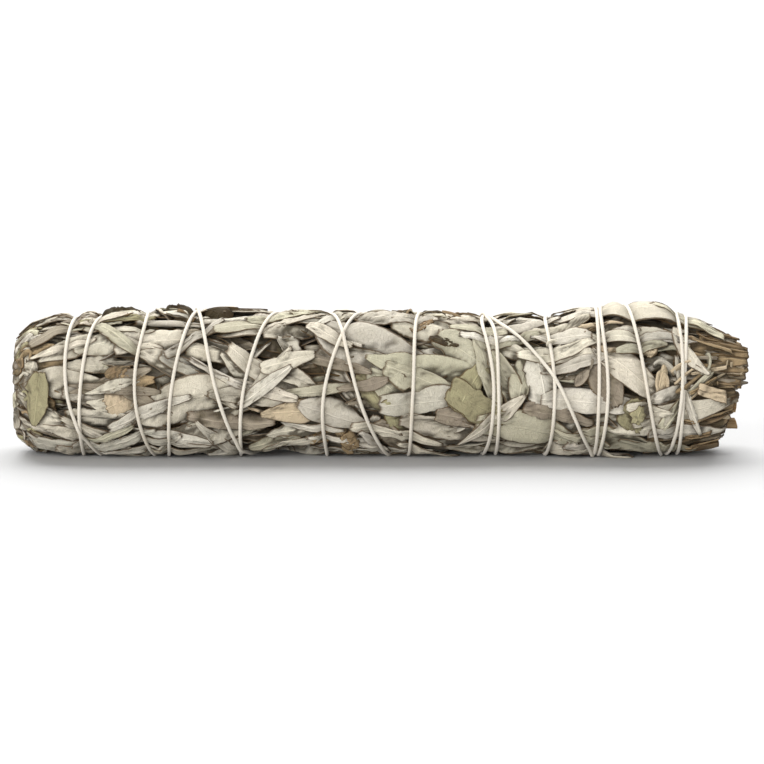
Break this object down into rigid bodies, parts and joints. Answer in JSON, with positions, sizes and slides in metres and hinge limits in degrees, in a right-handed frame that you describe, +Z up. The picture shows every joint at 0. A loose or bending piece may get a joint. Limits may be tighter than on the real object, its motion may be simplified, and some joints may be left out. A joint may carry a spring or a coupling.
{
  "type": "dried sage bunch",
  "caption": "Bunch of dried white sage: leafy stems pressed lengthwise into a roll, bound criss-cross with cotton twine, lying on its side.",
  "frame": {"origin": "on the surface that the bunch lies on, under the middle of the bunch", "axes": "+X along the bunch towards the cut stems, -Y towards the front that the picture shows, +Z up"},
  "size_m": [0.225, 0.048, 0.0469],
  "materials": {
    "leaf": "matt, felted, pale grey-green",
    "stem": "dry bark",
    "twine": "twisted cotton"
  },
  "bodies": {
    "root": {"leaves_1": "leaf", "leaves_2": "leaf", "leaves_3": "leaf", "leaves_4": "leaf", "leaves_5": "leaf", "leaves_6": "leaf", "stem_1": "stem", "stem_2": "stem", "stem_3": "stem", "stem_4": "stem", "stem_5": "stem", "stem_6": "stem", "stem_middle": "stem", "twine": "twine"}
  },
  "joints": []
}
